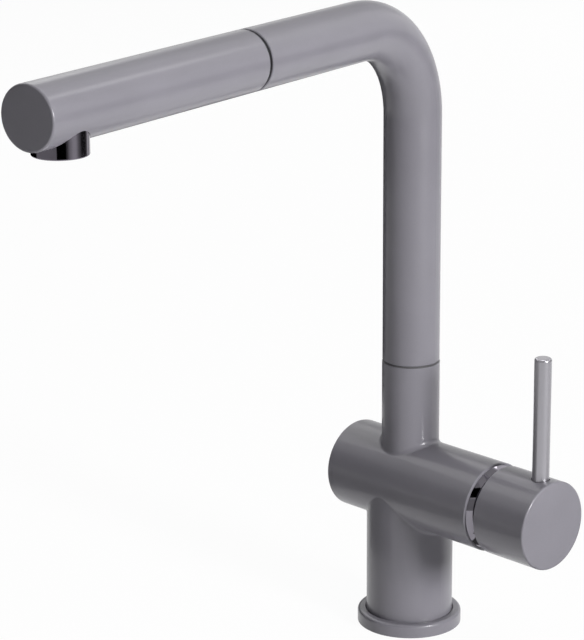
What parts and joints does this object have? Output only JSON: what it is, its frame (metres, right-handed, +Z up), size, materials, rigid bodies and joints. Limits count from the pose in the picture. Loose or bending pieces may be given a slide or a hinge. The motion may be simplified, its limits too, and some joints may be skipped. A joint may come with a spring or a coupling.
{
  "type": "mixer tap",
  "caption": "Single-lever kitchen mixer tap with an L-shaped swivel spout, a pull-out handset and a side knob with an upright lever pin.",
  "frame": {"origin": "middle of the tap's foot, on the worktop's top face, on the swivel's axis", "axes": "+Z up, the knob and its lever pin are on the +X side, the spout points to -Y and is swivelled 10 degrees towards +X, as in the picture"},
  "size_m": [0.1385, 0.3198, 0.419],
  "materials": {
    "painted_grey": "satin sprayed grey",
    "chrome": "polished",
    "brass": "machined",
    "steel": "zinc plated",
    "black_rubber": "matte",
    "black_plastic": "moulded satin",
    "white_plastic": "moulded satin",
    "grey_plastic": "moulded satin",
    "ceramic": "lapped",
    "hose_braid": "braided nylon"
  },
  "bodies": {
    "mixer_body": {"body_casting": "painted_grey", "barrel_end_cap": "painted_grey", "port_block": "brass", "block_gasket": "black_rubber", "hose_coupling": "brass", "base_ring": "painted_grey", "base_gasket": "black_rubber", "mounting_shank": "brass", "clamp_gasket": "black_rubber", "clamp_washer": "steel", "fixing_nut": "brass", "cartridge_base": "white_plastic", "port_seals": "black_rubber", "cartridge_housing": "white_plastic", "fixed_disc": "ceramic", "cartridge_nut": "brass", "dome_cover": "chrome", "swivel_washer": "black_plastic", "upper_glide_ring": "white_plastic", "lower_glide_ring": "white_plastic", "spout_stop_screw": "steel"},
    "mix_rotor": {"spindle_rotor": "white_plastic", "pivot_pin": "steel"},
    "ceramic_slide": {"moving_disc": "ceramic", "disc_carrier": "white_plastic"},
    "lever": {"cartridge_spindle": "brass", "lever_knob": "painted_grey", "knob_grub_screw": "steel", "lever_pin": "painted_grey"},
    "spout": {"spout_tube": "painted_grey", "swivel_sleeve": "brass", "docking_bush": "black_plastic", "pullout_hose": "hose_braid"},
    "handset": {"handset_shell": "painted_grey", "handset_waterway": "black_plastic", "check_valve": "black_plastic", "hose_connector": "brass", "hose_ferrule": "steel", "aerator_housing": "chrome", "aerator_insert": "grey_plastic", "aerator_seal": "black_rubber"}
  },
  "joints": [
    {"name": "spout_swivel", "type": "hinge", "parent": "mixer_body", "child": "spout", "pos_m": [0, 0, 0.1465], "axis": [0, 0, 1], "range_deg": [-80, 60], "deforming": ["pullout_hose"]},
    {"name": "handset_pull", "type": "slide", "parent": "spout", "child": "handset", "axis": [0.1736, -0.9848, 0], "range_m": [0, 0.45], "deforming": ["pullout_hose"]},
    {"name": "lever_mix", "type": "hinge", "parent": "mixer_body", "child": "mix_rotor", "pos_m": [0.0435, 0, 0.08], "axis": [1, 0, 0], "range_deg": [-45, 45]},
    {"name": "lever_flow", "type": "hinge", "parent": "mix_rotor", "child": "lever", "pos_m": [0.0435, 0, 0.08], "axis": [0, 1, 0], "range_deg": [0, 22]},
    {"name": "disc_slide", "type": "slide", "parent": "mix_rotor", "child": "ceramic_slide", "axis": [0, 0, 1], "range_m": [0, 0.0051]}
  ],
  "couplings": [
    {"joint": "disc_slide", "follows": "lever_flow", "m_per_rad": 0.01312}
  ]
}
